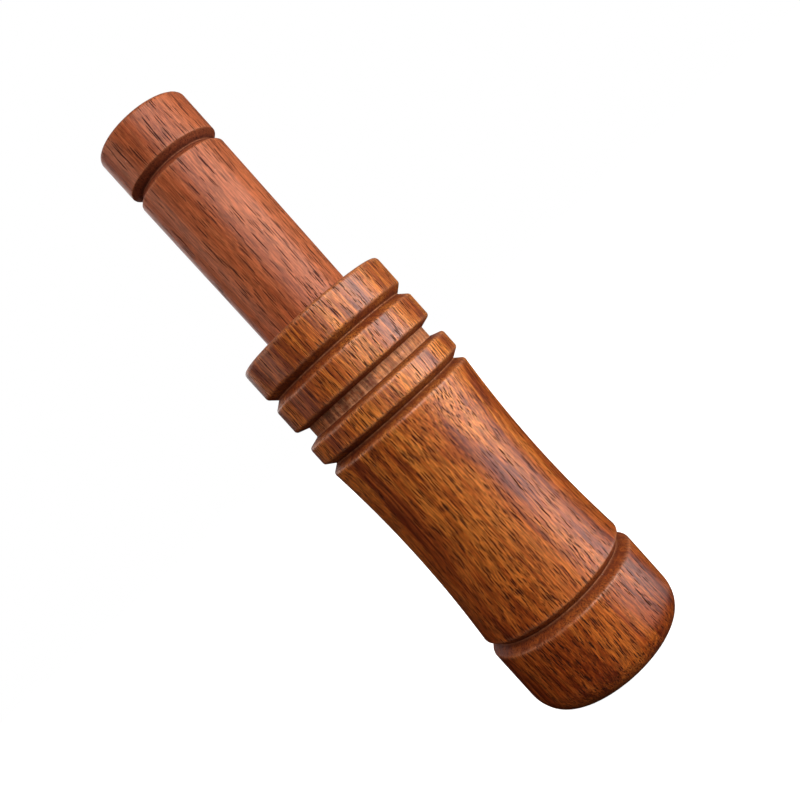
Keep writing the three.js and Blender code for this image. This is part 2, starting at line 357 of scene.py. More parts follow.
class Graph:
    """Adds and links the nodes of one tree."""

    def __init__(self, tree: bpy.types.NodeTree) -> None:
        """Work on a tree."""
        self.tree = tree

    def node(self, kind: str, **settings: object) -> bpy.types.Node:
        """Add a node.

        Args:
            kind: The node's type without its ShaderNode prefix.
            **settings: Properties to set on it.

        Returns:
            The node.
        """
        made = self.tree.nodes.new("ShaderNode" + kind)
        for name, value in settings.items():
            setattr(made, name, value)
        return made

    def feed(self, socket: Socket, value: Feed) -> None:
        """Link a socket into an input, or set the input to a plain value.

        Args:
            socket: The input.
            value: What it takes.
        """
        if isinstance(value, bpy.types.NodeSocket):
            self.tree.links.new(value, socket)
        else:
            socket.default_value = value

    def made(
        self,
        kind: str,
        inputs: dict[int | str, Feed],
        output: int | str = 0,
        **settings: object,
    ) -> Socket:
        """Add a node, feed it and take one of its outputs.

        Args:
            kind: The node's type without its ShaderNode prefix.
            inputs: What each of its inputs takes, by number or name.
            output: The output wanted, by number or name.
            **settings: Properties to set on it.

        Returns:
            That output.
        """
        node = self.node(kind, **settings)
        for name, value in inputs.items():
            self.feed(node.inputs[name], value)
        return node.outputs[output]

    def maths(self, operation: str, first: Feed, second: Feed = 0.0, clamp: bool = False) -> Socket:
        """Work out one number from two; clamped, it stays within 0 and 1."""
        return self.made("Math", {0: first, 1: second}, operation=operation, use_clamp=clamp)

    def times(self, first: Feed, second: Feed) -> Socket:
        """Multiply two numbers."""
        return self.maths("MULTIPLY", first, second)

    def plus(self, first: Feed, second: Feed) -> Socket:
        """Add two numbers."""
        return self.maths("ADD", first, second)

    def vector(self, operation: str, first: Feed, second: Feed) -> Socket:
        """Work out one vector from two."""
        return self.made("VectorMath", {0: first, 1: second}, operation=operation)

    def scaled(self, vector: Socket, factor: Feed) -> Socket:
        """Multiply a vector by one number."""
        return self.made("VectorMath", {0: vector, "Scale": factor}, operation="SCALE")

    def between(self, value: Socket, low: float, high: float) -> Socket:
        """Map a value smoothly to 0 at low and 1 at high; high may be the smaller."""
        inputs = {"Value": value, "From Min": low, "From Max": high}
        return self.made("MapRange", inputs, interpolation_type="SMOOTHSTEP")

    def ranged(self, value: Socket, low: float, high: float) -> Socket:
        """Stretch a 0 to 1 value over low to high."""
        return self.made("MapRange", {"Value": value, "To Min": low, "To Max": high})

    def blend(self, share: Feed, first: Feed, second: Feed, mode: str = "MIX") -> Socket:
        """Mix two colours.

        Args:
            share: How much of the second.
            first: First colour, a socket or linear RGB.
            second: Second colour, a socket or linear RGB.
            mode: The mixing mode.

        Returns:
            The mixed colour.
        """
        below, above = ((*c, 1.0) if isinstance(c, tuple) else c for c in (first, second))
        inputs = {0: share, 6: below, 7: above}
        return self.made(
            "Mix", inputs, 2, data_type="RGBA", blend_type=mode, clamp_factor=True
        )

    def cover(self, colour: Feed, mask: Socket, share: float, paint: Feed) -> Socket:
        """Lay a share of a paint over a colour where a mask is 1."""
        return self.blend(self.times(mask, share), colour, paint)

    def ramp(self, value: Socket, stops: Sequence[tuple[float, Colour]]) -> Socket:
        """Colour a value.

        Args:
            value: The value, from 0 to 1.
            stops: Places from 0 to 1 and the linear colour at each.

        Returns:
            The colour.
        """
        node = self.node("ValToRGB")
        elements = node.color_ramp.elements
        while len(elements) < len(stops):
            elements.new(0.5)
        for element, (place, colour) in zip(elements, stops, strict=True):
            element.position = place
            element.color = (*colour, 1.0)
        self.feed(node.inputs[0], value)
        return node.outputs[0]

    def noise(
        self, place: Socket, rate: float | Triple, detail: float = 2.0, roughness: float = 0.5
    ) -> bpy.types.Node:
        """Add a Noise Texture.

        Args:
            place: Where it is read.
            rate: Waves for each unit of place, the same along all axes or one for each.
            detail: Finer layers added.
            roughness: How strong the finer layers are.

        Returns:
            The node, whose output 0 is a value and output 1 a colour.
        """
        node = self.node("TexNoise")
        if isinstance(rate, tuple):
            place, rate = self.vector("MULTIPLY", place, rate), 1.0
        self.feed(node.inputs["Vector"], place)
        self.feed(node.inputs["Scale"], rate)
        self.feed(node.inputs["Detail"], detail)
        self.feed(node.inputs["Roughness"], roughness)
        return node

    def cells(self, place: Socket, rate: float, feature: str = "F1") -> bpy.types.Node:
        """Add a Voronoi Texture.

        Args:
            place: Where it is read.
            rate: Cells for each unit of place.
            feature: What its distance is measured to.

        Returns:
            The node.
        """
        node = self.node("TexVoronoi", feature=feature)
        self.feed(node.inputs["Vector"], place)
        self.feed(node.inputs["Scale"], rate)
        return node

    def parts(self, whole: Socket, kind: str = "SeparateXYZ") -> Sequence[Socket]:
        """Split a vector or, by SeparateColor, a colour.

        Args:
            whole: The vector or colour.
            kind: The node that splits it.

        Returns:
            Its three numbers.
        """
        node = self.node(kind)
        self.feed(node.inputs[0], whole)
        return node.outputs

    def bump(self, height: Socket, depth: float, below: Socket | None = None) -> Socket:
        """Turn a 0 to 1 height into a normal.

        Args:
            height: The height.
            depth: What a height of 1 stands for, in metres.
            below: A normal to add it to, or None.

        Returns:
            The normal.
        """
        inputs: dict[int | str, Feed] = {"Distance": depth, "Height": height}
        if below is not None:
            inputs["Normal"] = below
        return self.made("Bump", inputs)


class GroupGraph(Graph):
    """The graph of a node group with named inputs and outputs."""

    def __init__(self, name: str, inputs: dict[str, str], outputs: dict[str, str]) -> None:
        """Start the group.

        Args:
            name: Its name.
            inputs: Input names and their socket kinds, such as Float or Vector.
            outputs: Output names and their socket kinds.
        """
        super().__init__(bpy.data.node_groups.new(name, "ShaderNodeTree"))
        for direction, sockets in (("INPUT", inputs), ("OUTPUT", outputs)):
            for socket, kind in sockets.items():
                self.tree.interface.new_socket(
                    socket, in_out=direction, socket_type="NodeSocket" + kind
                )
        self.source = self.tree.nodes.new("NodeGroupInput")
        self.result = self.tree.nodes.new("NodeGroupOutput")

    def given(self, name: str) -> Socket:
        """Take one of the group's inputs."""
        return self.source.outputs[name]

    def give(self, name: str, value: Socket) -> None:
        """Feed one of the group's outputs."""
        self.feed(self.result.inputs[name], value)


class Effect(Enum):
    """The shared surface effects, each named for the method of Effects that builds it."""

    GRAIN = "grain"
    PORES = "pores"
    TOOL_MARKS = "tool_marks"
    BROKEN = "broken"
    SPECKLE = "speckle"


@dataclass
class Effects:
    """Surface effects that several finishes share, each a node group built once.

    Places are in millimetres, and rates are waves or cells for each millimetre.
    """

    noise_middle: Triple = (0.5, 0.5, 0.5)
    sideways: Triple = (1.0, 1.0, 0.0)
    wander_rate: Triple = (0.035, 0.035, 0.016)
    band_rate: Triple = (0.11, 0.20, 0.016)
    band_range: Pair = (0.37, 0.63)
    streak_rate: Triple = (1.15, 1.15, 0.055)
    streak_range: Pair = (0.35, 0.65)
    fibre_rate: Triple = (3.8, 3.8, 0.26)
    fibre_range: Pair = (0.34, 0.66)
    kink_rate: Triple = (0.3, 0.3, 0.12)
    kink: float = 0.4
    layer_shifts: tuple[Triple, Triple] = ((0.0, 0.0, 0.0), (0.47, 0.31, 0.53))
    pore_sizes: Pair = (0.55, 1.35)
    pore_rim: float = 0.15
    pore_fall: float = 0.7
    fine_mark_rate: Triple = (0.05, 0.05, 9.0)
    coarse_mark_rate: Triple = (0.02, 0.02, 1.7)
    fine_mark_share: float = 0.6
    patch_rate: float = 1.3
    patch_range: Pair = (0.42, 0.62)
    speck_rate: float = 0.9
    speck_edge: Pair = (0.10, 0.05)
    groups: dict[Effect, bpy.types.NodeTree] = field(default_factory=dict)

    def group(self, effect: Effect) -> bpy.types.NodeTree:
        """Take an effect's node group, which is built when it is first asked for."""
        if effect not in self.groups:
            self.groups[effect] = getattr(self, effect.value)()
        return self.groups[effect]

    def grain(self) -> bpy.types.NodeTree:
        """Timber grain: slow colour bands, streaks and fibres that all run along Z.

        Returns:
            A group that gives bands, streaks and fibres from 0 to 1, and the place after the
            timber's own slow wander. Only the bands slope.
        """
        g = GroupGraph(
            "Timber grain",
            {"Place": "Vector", "Offset": "Vector", "Wander": "Float", "Slope": "Float"},
            {"Bands": "Float", "Streaks": "Float", "Fibres": "Float", "Wandered": "Vector"},
        )
        place, offset = g.given("Place"), g.given("Offset")
        slow = g.noise(g.vector("ADD", place, offset), self.wander_rate)
        centred = g.vector("SUBTRACT", slow.outputs[1], self.noise_middle)
        push = g.scaled(g.vector("MULTIPLY", centred, self.sideways), g.given("Wander"))
        wandered = g.vector("ADD", place, push)
        drift = g.made("CombineXYZ", {0: g.times(g.parts(wandered)[2], g.given("Slope"))})
        moved = g.vector("ADD", wandered, offset)
        sloping = g.vector("ADD", g.vector("ADD", wandered, drift), offset)
        bands = g.noise(sloping, self.band_rate, 3.0, 0.55)
        streaks = g.noise(moved, self.streak_rate, 4.0, 0.7)
        fibres = g.noise(moved, self.fibre_rate, 3.0, 0.8)
        g.give("Bands", g.between(bands.outputs[0], *self.band_range))
        g.give("Streaks", g.between(streaks.outputs[0], *self.streak_range))
        g.give("Fibres", g.between(fibres.outputs[0], *self.fibre_range))
        g.give("Wandered", wandered)
        return g.tree

    def pores(self) -> bpy.types.NodeTree:
        """Open pores: thin dark dashes along Z, from two layers of stretched cells.

        Returns:
            A group that gives a mask of the pores and their depth, from a cell width, a dash
            length, a dash half width in cells and the share of cells that hold one.
        """
        g = GroupGraph(
            "Open pores",
            {"Place": "Vector"} | dict.fromkeys(("Cell", "Length", "Half Width", "Keep"), "Float"),
            {"Mask": "Float", "Depth": "Float"},
        )
        place = g.given("Place")
        wave = g.noise(place, self.kink_rate)
        bend = g.scaled(g.vector("SUBTRACT", wave.outputs[1], self.noise_middle), self.kink)
        bent = g.vector("ADD", place, g.vector("MULTIPLY", bend, self.sideways))
        size = g.made("CombineXYZ", {0: g.given("Cell"), 1: g.given("Cell"), 2: g.given("Length")})
        layers = []
        for shift in self.layer_shifts:
            cells = g.cells(g.vector("ADD", g.vector("DIVIDE", bent, size), shift), 1.0)
            chance, girth = g.parts(cells.outputs["Color"], "SeparateColor")[:2]
            kept = g.maths("LESS_THAN", chance, g.given("Keep"))
            radius = g.times(g.given("Half Width"), g.ranged(girth, *self.pore_sizes))
            inside = g.maths("SUBTRACT", 1.0, g.maths("DIVIDE", cells.outputs["Distance"], radius))
            layers.append(g.times(g.between(inside, 0.0, self.pore_rim), kept))
        both = g.maths("MAXIMUM", *layers)
        g.give("Mask", both)
        g.give("Depth", g.maths("POWER", both, self.pore_fall))
        return g.tree

    def tool_marks(self) -> bpy.types.NodeTree:
        """Turning marks: fine rings left by the gouge and the abrasive.

        Returns:
            A group that gives a height from 0 to 1.
        """
        g = GroupGraph("Turning marks", {"Place": "Vector"}, {"Height": "Float"})
        fine = g.noise(g.given("Place"), self.fine_mark_rate)
        coarse = g.noise(g.given("Place"), self.coarse_mark_rate, 1.0)
        share = self.fine_mark_share
        height = g.plus(g.times(fine.outputs[0], share), g.times(coarse.outputs[0], 1 - share))
        g.give("Height", height)
        return g.tree

    def broken(self) -> bpy.types.NodeTree:
        """Break up a clean mask with noise, as wear and dirt do.

        Returns:
            A group that gives the mask with holes, as deep as its patchiness.
        """
        inputs = {"Place": "Vector", "Mask": "Float", "Patchiness": "Float"}
        g = GroupGraph("Broken mask", inputs, {"Mask": "Float"})
        patches = g.noise(g.given("Place"), (self.patch_rate,) * 3, 4.0, 0.65)
        holes = g.between(patches.outputs[0], *self.patch_range)
        whole = g.maths("SUBTRACT", 1.0, g.times(holes, g.given("Patchiness")))
        g.give("Mask", g.maths("MULTIPLY", g.given("Mask"), whole, clamp=True))
        return g.tree

    def speckle(self) -> bpy.types.NodeTree:
        """Dust and handling specks: sparse pale dots a tenth of a millimetre across.

        Returns:
            A group that gives their mask, from the share of cells that hold one.
        """
        g = GroupGraph("Dust specks", {"Place": "Vector", "Keep": "Float"}, {"Mask": "Float"})
        cells = g.cells(g.given("Place"), self.speck_rate)
        chance = g.parts(cells.outputs["Color"], "SeparateColor")[0]
        kept = g.maths("LESS_THAN", chance, g.given("Keep"))
        g.give("Mask", g.times(g.between(cells.outputs["Distance"], *self.speck_edge), kept))
        return g.tree


class MaterialGraph(Graph):
    """The graph of one material: its shader, its place in millimetres and the shared effects."""

    def __init__(self, name: str, effects: Effects) -> None:
        """Start the material.

        Args:
            name: Its name.
            effects: The effects that it may use.
        """
        self.material = bpy.data.materials.new(name)
        self.material.use_nodes = True
        super().__init__(self.material.node_tree)
        self.tree.nodes.clear()
        self.effects = effects
        self.shader = self.node("BsdfPrincipled")
        self.feed(self.node("OutputMaterial").inputs["Surface"], self.shader.outputs[0])
        self.place = self.scaled(self.node("TexCoord").outputs["Object"], PER_MM)

    def dress(self, **values: Feed) -> None:
        """Feed the shader's inputs, with underscores for spaces in their names."""
        for name, value in values.items():
            self.feed(self.shader.inputs[name.replace("_", " ")], value)

    def use(self, effect: Effect, **values: Feed) -> bpy.types.Node:
        """Place an effect, read at the piece's own place unless another is given.

        Args:
            effect: The effect.
            **values: Its inputs, with underscores for spaces in their names.

        Returns:
            The group node, whose outputs are the effect's.
        """
        group = self.effects.group(effect)
        inputs = {"Place": self.place, **values}
        node = self.node("Group", node_tree=group)
        for name, value in inputs.items():
            self.feed(node.inputs[name.replace("_", " ")], value)
        return node

    def mark(self, mark: Mark, patchiness: float = 0.0) -> Socket:
        """Read one of a turned piece's masks.

        Args:
            mark: Which one.
            patchiness: How far noise breaks it up, or 0 to take it whole.

        Returns:
            The mask.
        """
        clean = self.node("Attribute", attribute_name=mark.value).outputs["Fac"]
        return self.broken(clean, patchiness) if patchiness else clean

    def broken(self, mask: Socket, patchiness: float) -> Socket:
        """Break up a mask with noise."""
        return self.use(Effect.BROKEN, Mask=mask, Patchiness=patchiness).outputs["Mask"]

    def specks(self, keep: float) -> Socket:
        """Mask the dust specks, from the share of cells that hold one."""
        return self.use(Effect.SPECKLE, Keep=keep).outputs["Mask"]


# ---------------------------------------------------------------- finishes


@dataclass(frozen=True)
class Wear:
    """How a mask shows: its colour's cover, its added roughness and how patchy noise makes it."""

    cover: float
    roughness: float = 0.0
    patchiness: float = 0.0


@dataclass(frozen=True)
class Finish:
    """A procedural finish. Its colours are linear, and its places and rates in millimetres."""

    name: str

    def build(self, effects: Effects) -> bpy.types.Material:
        """Make the material.

        Args:
            effects: The shared effects.

        Returns:
            The material.
        """
        graph = MaterialGraph(self.name, effects)
        self.dress(graph)
        return graph.material

    def dress(self, g: MaterialGraph) -> None:
        """Feed the shader, which each finish does in its own way."""
        raise NotImplementedError


@dataclass(frozen=True)
class TimberFinish(Finish):
    """Varnished open-pored timber, its grain along Z."""

    dark: Colour
    middle: Colour
    light: Colour
    pore: Colour
    end_grain: Colour
    # Dark colour for the grooves: a stain that is also painted shade in the recesses.
    stain_and_shade: Colour
    # Pale rubbed wood for the bare floor, also laid as painted highlight lines on edges and groove
    # bottoms.
    rubbed_and_highlight: Colour
    offset: Triple
    wander: float
    slope: float
    pore_cell: float
    pore_length: float
    pore_half_width: float
    pore_keep: float
    # Painted shade: the colour darkens towards one end, between these heights in millimetres, by
    # this colour.
    end_shade_from: float
    end_shade_to: float
    end_shade: Colour
    figure: float
    fibre_depth: float
    roughness: float = 0.42
    streak_roughness: float = 0.10
    base_gloss: float = 0.14
    coat_weight: float = 1.2
    coat_roughness: float = 0.35
    tone_places: Triple = (0.16, 0.48, 0.86)
    band_share: float = 0.52
    fibre_middle: float = 0.97
    pore_crowding: Pair = (0.55, 1.25)
    end_steepness: Pair = (0.25, 0.85)
    pores: Wear = Wear(cover=0.96, roughness=0.25)
    ends: Wear = Wear(cover=0.62, roughness=0.15)
    # The groove's cover lays the stain and painted shade into the recesses.
    groove: Wear = Wear(cover=0.75, roughness=0.2, patchiness=0.35)
    bare: Wear = Wear(cover=0.55, roughness=0.15, patchiness=0.75)
    bore: Wear = Wear(cover=0.55, roughness=0.3)
    # Pale lines on turned edges are partly wear and partly painted highlight; on groove bottoms
    # they are painted highlight.
    edge: Wear = Wear(cover=0.46, patchiness=0.8)
    seam_highlight: Wear = Wear(cover=0.3, patchiness=0.6)
    bare_streaks: Pair = (0.42, 1.25)
    dust: Colour = (0.75, 0.68, 0.6)
    dust_keep: float = 0.05
    dust_cover: float = 0.35
    film_level: float = 0.84
    film_dip: float = 0.34
    film_rise: float = 0.16
    film_fibre_share: float = 0.6
    film_left_on_ends: float = 0.06
    mark_depth: float = 0.004 * MM
    fibre_relief: float = 0.010 * MM
    pore_depth: float = 0.07 * MM

    def dress(self, g: MaterialGraph) -> None:
        """Colour the timber with painted shade towards one end, lay pores, stains and painted shade
        in the grooves, wear and painted highlight lines, and dust over it, and varnish it.

        Args:
            g: The material's graph.
        """
        grain = g.use(Effect.GRAIN, Offset=self.offset, Wander=self.wander, Slope=self.slope)
        bands, streaks, fibres, wandered = grain.outputs
        dashes = g.use(
            Effect.PORES,
            Place=wandered,
            Cell=self.pore_cell,
            Length=self.pore_length,
            Half_Width=self.pore_half_width,
            Keep=g.times(g.ranged(bands, *self.pore_crowding), self.pore_keep),
        )
        pores, hollows = dashes.outputs
        groove, edge, bare, seam_highlight = (
            g.mark(mark, wear.patchiness)
            for mark, wear in (
                (Mark.GROOVE, self.groove),
                (Mark.EDGE, self.edge),
                (Mark.BARE, self.bare),
                (Mark.SEAM, self.seam_highlight),
            )
        )
        bore, ends = g.mark(Mark.BORE), self._end_grain(g)
        # Painted shade towards one end.
        colour = self._painted_end_shade(g, self._timber(g, bands, streaks, fibres))
        colour = g.cover(colour, pores, self.pores.cover, self.pore)
        colour = g.cover(colour, ends, self.ends.cover, self.end_grain)
        # Darken the grooves with a stain that is also painted shade.
        colour = g.cover(colour, groove, self.groove.cover, self.stain_and_shade)
        pale = g.blend(streaks, *(toned(self.rubbed_and_highlight, factor) for factor in self.bare_streaks))
        colour = g.cover(colour, bare, self.bare.cover, pale)
        # Pale lines: on edges partly wear and partly painted highlight, in groove bottoms painted
        # highlight.
        worn_and_highlight_lines = (g.times(edge, self.edge.cover), g.times(seam_highlight, self.seam_highlight.cover))
        colour = g.blend(g.maths("MAXIMUM", *worn_and_highlight_lines), colour, self.rubbed_and_highlight)
        colour = g.cover(colour, bore, self.bore.cover, self.end_grain)
        colour = g.cover(colour, g.specks(self.dust_keep), self.dust_cover, self.dust)
        rough = g.plus(self.roughness, g.times(streaks, self.streak_roughness))
        for mask, wear in (
            (pores, self.pores),
            (groove, self.groove),
            (bare, self.bare),
            (bore, self.bore),
            (ends, self.ends),
        ):
            rough = g.maths("ADD", rough, g.times(mask, wear.roughness), clamp=True)
        open_wood = g.maths("MAXIMUM", g.maths("MAXIMUM", bare, bore), pores)
        film = self._film(g, streaks, fibres, g.maths("MAXIMUM", groove, ends))
        sealed = g.maths("SUBTRACT", 1.0, open_wood, clamp=True)
        marked = g.bump(g.use(Effect.TOOL_MARKS).outputs["Height"], self.mark_depth)
        ribbed = g.bump(fibres, self.fibre_relief, marked)
        g.dress(
            Base_Color=colour,
            Roughness=rough,
            Coat_Weight=g.maths("MULTIPLY", sealed, film, clamp=True),
            Coat_Roughness=self.coat_roughness,
            Specular_IOR_Level=self.base_gloss,
            Normal=g.bump(g.maths("SUBTRACT", 1.0, hollows), self.pore_depth, ribbed),
        )

    def _timber(self, g: Graph, bands: Socket, streaks: Socket, fibres: Socket) -> Socket:
        """Mix the timber's own colour from its grain.

        Args:
            g: The material's graph.
            bands: Slow colour bands.
            streaks: Streaks, which share the tone with the bands.
            fibres: Fibres, which darken and brighten it.

        Returns:
            The colour.
        """
        rest = g.times(streaks, 1 - self.band_share)
        mixed = g.plus(g.times(bands, self.band_share), rest)
        tone = g.ranged(mixed, 0.5 - self.figure / 2, 0.5 + self.figure / 2)
        stops = zip(self.tone_places, (self.dark, self.middle, self.light), strict=True)
        depth = self.fibre_depth
        shade = g.ranged(fibres, self.fibre_middle - depth, self.fibre_middle + depth)
        grey = g.made("CombineColor", {0: shade, 1: shade, 2: shade})
        return g.blend(1.0, g.ramp(tone, list(stops)), grey, "MULTIPLY")

    def _painted_end_shade(self, g: MaterialGraph, colour: Socket) -> Socket:
        """Deepen the colour towards one end of the piece, as painted shade."""
        share = g.between(g.parts(g.place)[2], self.end_shade_from, self.end_shade_to)
        return g.blend(share, colour, self.end_shade, "MULTIPLY")

    def _end_grain(self, g: Graph) -> Socket:
        """Mask the surfaces that cut across the fibres, where the finish soaks in."""
        normal = g.parts(g.node("TexCoord").outputs["Normal"])
        return g.between(g.maths("ABSOLUTE", normal[2]), *self.end_steepness)

    def _film(self, g: Graph, streaks: Socket, fibres: Socket, soaked: Socket) -> Socket:
        """Say how thick the varnish lies.

        Args:
            g: The material's graph.
            streaks: Streaks, which share its unevenness with the fibres.
            fibres: Fibres.
            soaked: Where it has soaked in or been wiped out.

        Returns:
            The coat's weight.
        """
        share = self.film_fibre_share
        lines = g.plus(g.times(fibres, share), g.times(streaks, 1 - share))
        thinnest = self.film_level - self.film_dip * self.figure
        thickest = self.film_level + self.film_rise * self.figure
        film = g.times(g.ranged(lines, thinnest, thickest), self.coat_weight)
        return g.times(film, g.ranged(soaked, 1.0, self.film_left_on_ends))


@dataclass(frozen=True)
class MouldedFinish(Finish):
    """Smooth moulded plastic with faint flow texture and handling scuffs."""

    colour: Colour
    scuffed: Colour
    flow_rate: Triple = (0.5, 0.5, 0.12)
    flow_range: Pair = (0.35, 0.65)
    flow_gain: float = 1.5
    flow_depth: float = 0.02 * MM
    scratch_rate: Triple = (9.0, 9.0, 0.35)
    scratch_range: Pair = (0.60, 0.74)
    scuffs: Wear = Wear(cover=0.5, roughness=0.25, patchiness=1.0)
    dust: Colour = (0.5, 0.45, 0.4)
    dust_keep: float = 0.12
    dust_cover: float = 0.4
    roughness: float = 0.24

    def dress(self, g: MaterialGraph) -> None:
        """Vary the colour with the flow and lay scuffs and dust over it.

        Args:
            g: The material's graph.
        """
        flow = g.noise(g.place, self.flow_rate, 3.0).outputs[0]
        scratches = g.noise(g.place, self.scratch_rate, 2.0, 0.7).outputs[0]
        worn = g.broken(g.between(scratches, *self.scratch_range), self.scuffs.patchiness)
        brighter = toned(self.colour, self.flow_gain)
        colour = g.blend(g.between(flow, *self.flow_range), self.colour, brighter)
        colour = g.cover(colour, worn, self.scuffs.cover, self.scuffed)
        colour = g.cover(colour, g.specks(self.dust_keep), self.dust_cover, self.dust)
        g.dress(
            Base_Color=colour,
            Roughness=g.plus(self.roughness, g.times(worn, self.scuffs.roughness)),
            Normal=g.bump(flow, self.flow_depth),
        )


@dataclass(frozen=True)
class RubberFinish(Finish):
    """Black sealing rubber with a bloom of dust and grease."""

    colour: Colour
    bloom: Colour
    cloud_rate: float = 0.8
    cloud_range: Pair = (0.4, 0.7)
    tooth_rate: float = 14.0
    tooth_depth: float = 0.01 * MM
    blooming: Wear = Wear(cover=0.5, patchiness=0.7)
    roughness: Pair = (0.42, 0.66)

    def dress(self, g: MaterialGraph) -> None:
        """Cloud the rubber with its bloom and give it a fine tooth.

        Args:
            g: The material's graph.
        """
        cloud = g.noise(g.place, self.cloud_rate, 4.0, 0.6).outputs[0]
        tooth = g.noise(g.place, self.tooth_rate).outputs[0]
        bloomed = g.broken(g.between(cloud, *self.cloud_range), self.blooming.patchiness)
        g.dress(
            Base_Color=g.cover(self.colour, bloomed, self.blooming.cover, self.bloom),
            Roughness=g.ranged(cloud, *self.roughness),
            Normal=g.bump(tooth, self.tooth_depth),
        )


@dataclass(frozen=True)
class FilmFinish(Finish):
    """Milky polyester reed film, faintly brushed along its length."""

    colour: Colour
    clouded: Colour
    brush_rate: Triple = (11.0, 11.0, 0.3)
    brush_depth: float = 0.004 * MM
    cloud_rate: float = 0.35
    cloud_range: Pair = (0.35, 0.65)
    dust: Colour = (0.3, 0.27, 0.22)
    dust_keep: float = 0.1
    dust_cover: float = 0.3
    roughness: Pair = (0.16, 0.36)
    milkiness: float = 0.25
    milk_radius: Triple = (0.6 * MM, 0.6 * MM, 0.5 * MM)

    def dress(self, g: MaterialGraph) -> None:
        """Cloud the film, dust it and brush its gloss.

        Args:
            g: The material's graph.
        """
        brushed = g.noise(g.place, self.brush_rate, 2.0, 0.6).outputs[0]
        cloud = g.noise(g.place, self.cloud_rate, 3.0).outputs[0]
        colour = g.blend(g.between(cloud, *self.cloud_range), self.colour, self.clouded)
        g.dress(
            Base_Color=g.cover(colour, g.specks(self.dust_keep), self.dust_cover, self.dust),
            Roughness=g.ranged(brushed, *self.roughness),
            Normal=g.bump(brushed, self.brush_depth),
            Subsurface_Weight=self.milkiness,
            Subsurface_Radius=self.milk_radius,
        )


@dataclass(frozen=True)
class CorkFinish(Finish):
    """Raw cork: pale granules between dark pores and seams."""

    pale: Colour
    brown: Colour
    pit: Colour
    granule_rate: float = 1.1
    granule_height: float = 0.4
    pit_rate: float = 3.5
    pit_range: Pair = (0.56, 0.66)
    seam_range: Pair = (0.07, 0.0)
    pit_patchiness: float = 0.6
    relief: float = 0.09 * MM
    roughness: float = 0.88

    def dress(self, g: MaterialGraph) -> None:
        """Colour each granule by itself and sink the seams and pits.

        Args:
            g: The material's graph.
        """
        granules = g.cells(g.place, self.granule_rate)
        seams = g.cells(g.place, self.granule_rate, "DISTANCE_TO_EDGE").outputs["Distance"]
        fine = g.noise(g.place, self.pit_rate, 4.0, 0.7).outputs[0]
        pits = g.broken(g.between(fine, *self.pit_range), self.pit_patchiness)
        kind = g.parts(granules.outputs["Color"], "SeparateColor")[0]
        colour = g.blend(kind, self.pale, self.brown)
        colour = g.blend(g.between(seams, *self.seam_range), colour, self.pit)
        raised = g.times(granules.outputs["Distance"], self.granule_height)
        g.dress(
            Base_Color=g.blend(pits, colour, self.pit),
            Roughness=self.roughness,
            Normal=g.bump(g.maths("SUBTRACT", raised, pits), self.relief),
        )


# ---------------------------------------------------------------- turned pieces


@dataclass
class TurnedPiece:
    """What the barrel and the stopper share: a closed profile turned about the call's axis."""

    segments: int = 200
    straight_step: float = 0.9 * MM
    out_of_round: float = 0.012 * MM
    out_of_round_slowness: float = 0.15
    edge_reach: float = 0.35 * MM
    edge_bruise: float = 0.035 * MM
    bruise_above: float = 0.9
    groove_reach: float = 0.9 * MM
    # The groove-bottom mask carries a painted highlight line.
    seam_reach: float = 0.1 * MM
    seam_strength: float = 1.4
    vee_round: float = 0.14 * MM
    bore_edge_round: float = 0.1 * MM

    def turn(self, name: str, profile: np.ndarray, seed: int) -> bpy.types.Object:
        """Turn a profile about Z, slightly uneven as hand work is.

        A point is (r cos a, r sin a, z), with r the profile's radius plus a slow ripple, less a
        bruise where the profile has an edge and a second ripple peaks.

        Args:
            name: The piece's name.
            profile: Closed (radius, height) rows, counter-clockwise.
            seed: Seed of its ripples.

        Returns:
            The object, with its edge, groove and seam masks.
        """
        a, r = np.meshgrid(angles(self.segments), profile[:, 0])
        z = np.broadcast_to(profile[:, 1][:, None], a.shape)
        edge = np.clip(turn_of(profile, self.edge_reach), 0, 1)
        bruise = np.clip(ripple(a, z, seed + 1) - self.bruise_above, 0, 1) * edge[:, None]
        sway = ripple(a, z * self.out_of_round_slowness, seed)
        radius = r + sway * self.out_of_round - bruise * self.edge_bruise
        points = np.stack([radius * np.cos(a), radius * np.sin(a), z], axis=-1)
        piece = ring_mesh(name, points, wrap_rows=True)
        groove = -turn_of(profile, self.groove_reach)
        seam_highlight = -self.seam_strength * turn_of(profile, self.seam_reach)
        self.mark_rows(piece, Mark.EDGE, edge)
        self.mark_rows(piece, Mark.GROOVE, np.clip(groove, 0, 1))
        self.mark_rows(piece, Mark.SEAM, np.clip(seam_highlight, 0, 1))
        return piece

    def mark_rows(self, piece: bpy.types.Object, mark: Mark, rows: np.ndarray) -> None:
        """Store a mask that is the same all round the piece.

        Args:
            piece: The turned piece.
            mark: The mask's name.
            rows: One value for each row of its profile.
        """
        attribute = piece.data.attributes.new(mark.value, "FLOAT", "POINT")
        values = np.repeat(rows.astype(np.float32), self.segments)
        attribute.data.foreach_set("value", values)


